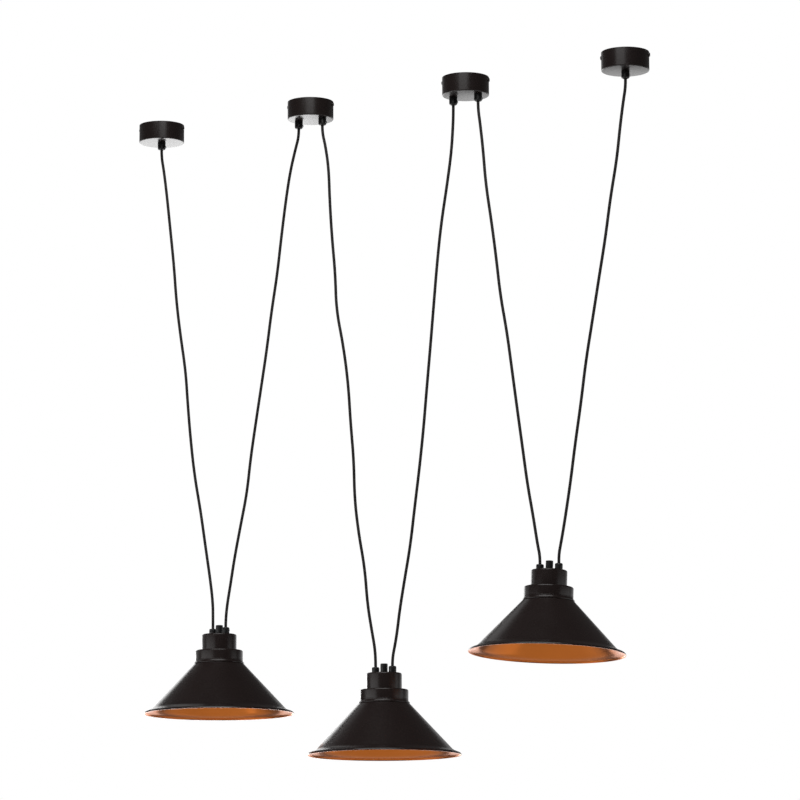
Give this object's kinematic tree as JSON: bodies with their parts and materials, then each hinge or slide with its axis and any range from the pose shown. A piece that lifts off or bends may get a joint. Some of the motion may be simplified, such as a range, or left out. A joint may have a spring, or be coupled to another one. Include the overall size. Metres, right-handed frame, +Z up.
{
  "type": "pendant lamp",
  "caption": "Row of cone-shaped metal pendant lamps on paired cords between small round ceiling canopies, black outside and copper inside, with the power looped from canopy to canopy.",
  "frame": {"origin": "on the ceiling plane, midway between the two ceiling holes of the first (feed) canopy's bracket", "axes": "+X along the row from the first canopy to the last, +Z up into the ceiling, -Y towards the viewer"},
  "size_m": [1.0319, 0.266, 1.1474],
  "materials": {
    "black_metal": "satin",
    "shade_black": "satin",
    "black_plastic": "satin",
    "cord_jacket": "matte",
    "zinc_steel": "satin",
    "brass": "satin",
    "porcelain": "satin",
    "block_plastic": "matte"
  },
  "bodies": {
    "canopies": {"canopy_cup_1": "black_metal", "ceiling_bracket_1": "zinc_steel", "canopy_grips_1": "black_plastic", "canopy_cup_2": "black_metal", "ceiling_bracket_2": "zinc_steel", "canopy_grips_2": "black_plastic", "canopy_cup_3": "black_metal", "ceiling_bracket_3": "zinc_steel", "canopy_grips_3": "black_plastic", "canopy_cup_4": "black_metal", "ceiling_bracket_4": "zinc_steel", "canopy_grips_4": "black_plastic", "canopy_screws": "black_metal", "grip_lock_nuts": "zinc_steel", "grip_clamp_screws": "zinc_steel", "terminal_blocks": "block_plastic", "canopy_cord_ends": "cord_jacket"},
    "cords_a": {"cord_1_a": "cord_jacket", "cord_2_a": "cord_jacket"},
    "lamp_a": {"upper_housing_a": "black_metal", "lower_housing_a": "black_metal", "shade_washer_a": "black_metal", "shade_a": "shade_black", "centre_cap_a": "black_plastic", "lamp_grips_a": "black_plastic", "lamp_fixings_a": "zinc_steel", "lampholder_shell_a": "black_plastic", "lampholder_insert_a": "porcelain", "lampholder_contacts_a": "brass", "shade_ring_a": "black_plastic", "lamp_cord_ends_a": "cord_jacket"},
    "cords_b": {"cord_2_b": "cord_jacket", "cord_3_b": "cord_jacket"},
    "lamp_b": {"upper_housing_b": "black_metal", "lower_housing_b": "black_metal", "shade_washer_b": "black_metal", "shade_b": "shade_black", "centre_cap_b": "black_plastic", "lamp_grips_b": "black_plastic", "lamp_fixings_b": "zinc_steel", "lampholder_shell_b": "black_plastic", "lampholder_insert_b": "porcelain", "lampholder_contacts_b": "brass", "shade_ring_b": "black_plastic", "lamp_cord_ends_b": "cord_jacket"},
    "cords_c": {"cord_3_c": "cord_jacket", "cord_4_c": "cord_jacket"},
    "lamp_c": {"upper_housing_c": "black_metal", "lower_housing_c": "black_metal", "shade_washer_c": "black_metal", "shade_c": "shade_black", "centre_cap_c": "black_plastic", "lamp_grips_c": "black_plastic", "lamp_fixings_c": "zinc_steel", "lampholder_shell_c": "black_plastic", "lampholder_insert_c": "porcelain", "lampholder_contacts_c": "brass", "shade_ring_c": "black_plastic", "lamp_cord_ends_c": "cord_jacket"}
  },
  "joints": [
    {"name": "swing_a", "type": "hinge", "parent": "canopies", "child": "cords_a", "pos_m": [0.1303, 0, -0.0447], "axis": [1, 0, 0], "range_deg": [-20, 20]},
    {"name": "tilt_a", "type": "hinge", "parent": "cords_a", "child": "lamp_a", "pos_m": [0.1303, 0, -0.9123], "axis": [0.9563, -0.2924, 0], "range_deg": [-15, 15]},
    {"name": "swing_b", "type": "hinge", "parent": "canopies", "child": "cords_b", "pos_m": [0.4697, 0, -0.0447], "axis": [1, 0, 0], "range_deg": [-20, 20]},
    {"name": "tilt_b", "type": "hinge", "parent": "cords_b", "child": "lamp_b", "pos_m": [0.4697, 0, -0.9979], "axis": [0.9962, -0.0872, 0], "range_deg": [-15, 15]},
    {"name": "swing_c", "type": "hinge", "parent": "canopies", "child": "cords_c", "pos_m": [0.7942, 0, -0.0447], "axis": [1, 0, 0], "range_deg": [-20, 20]},
    {"name": "tilt_c", "type": "hinge", "parent": "cords_c", "child": "lamp_c", "pos_m": [0.7942, 0, -0.8457], "axis": [0.9998, 0, -0.0182], "range_deg": [-15, 15]}
  ]
}
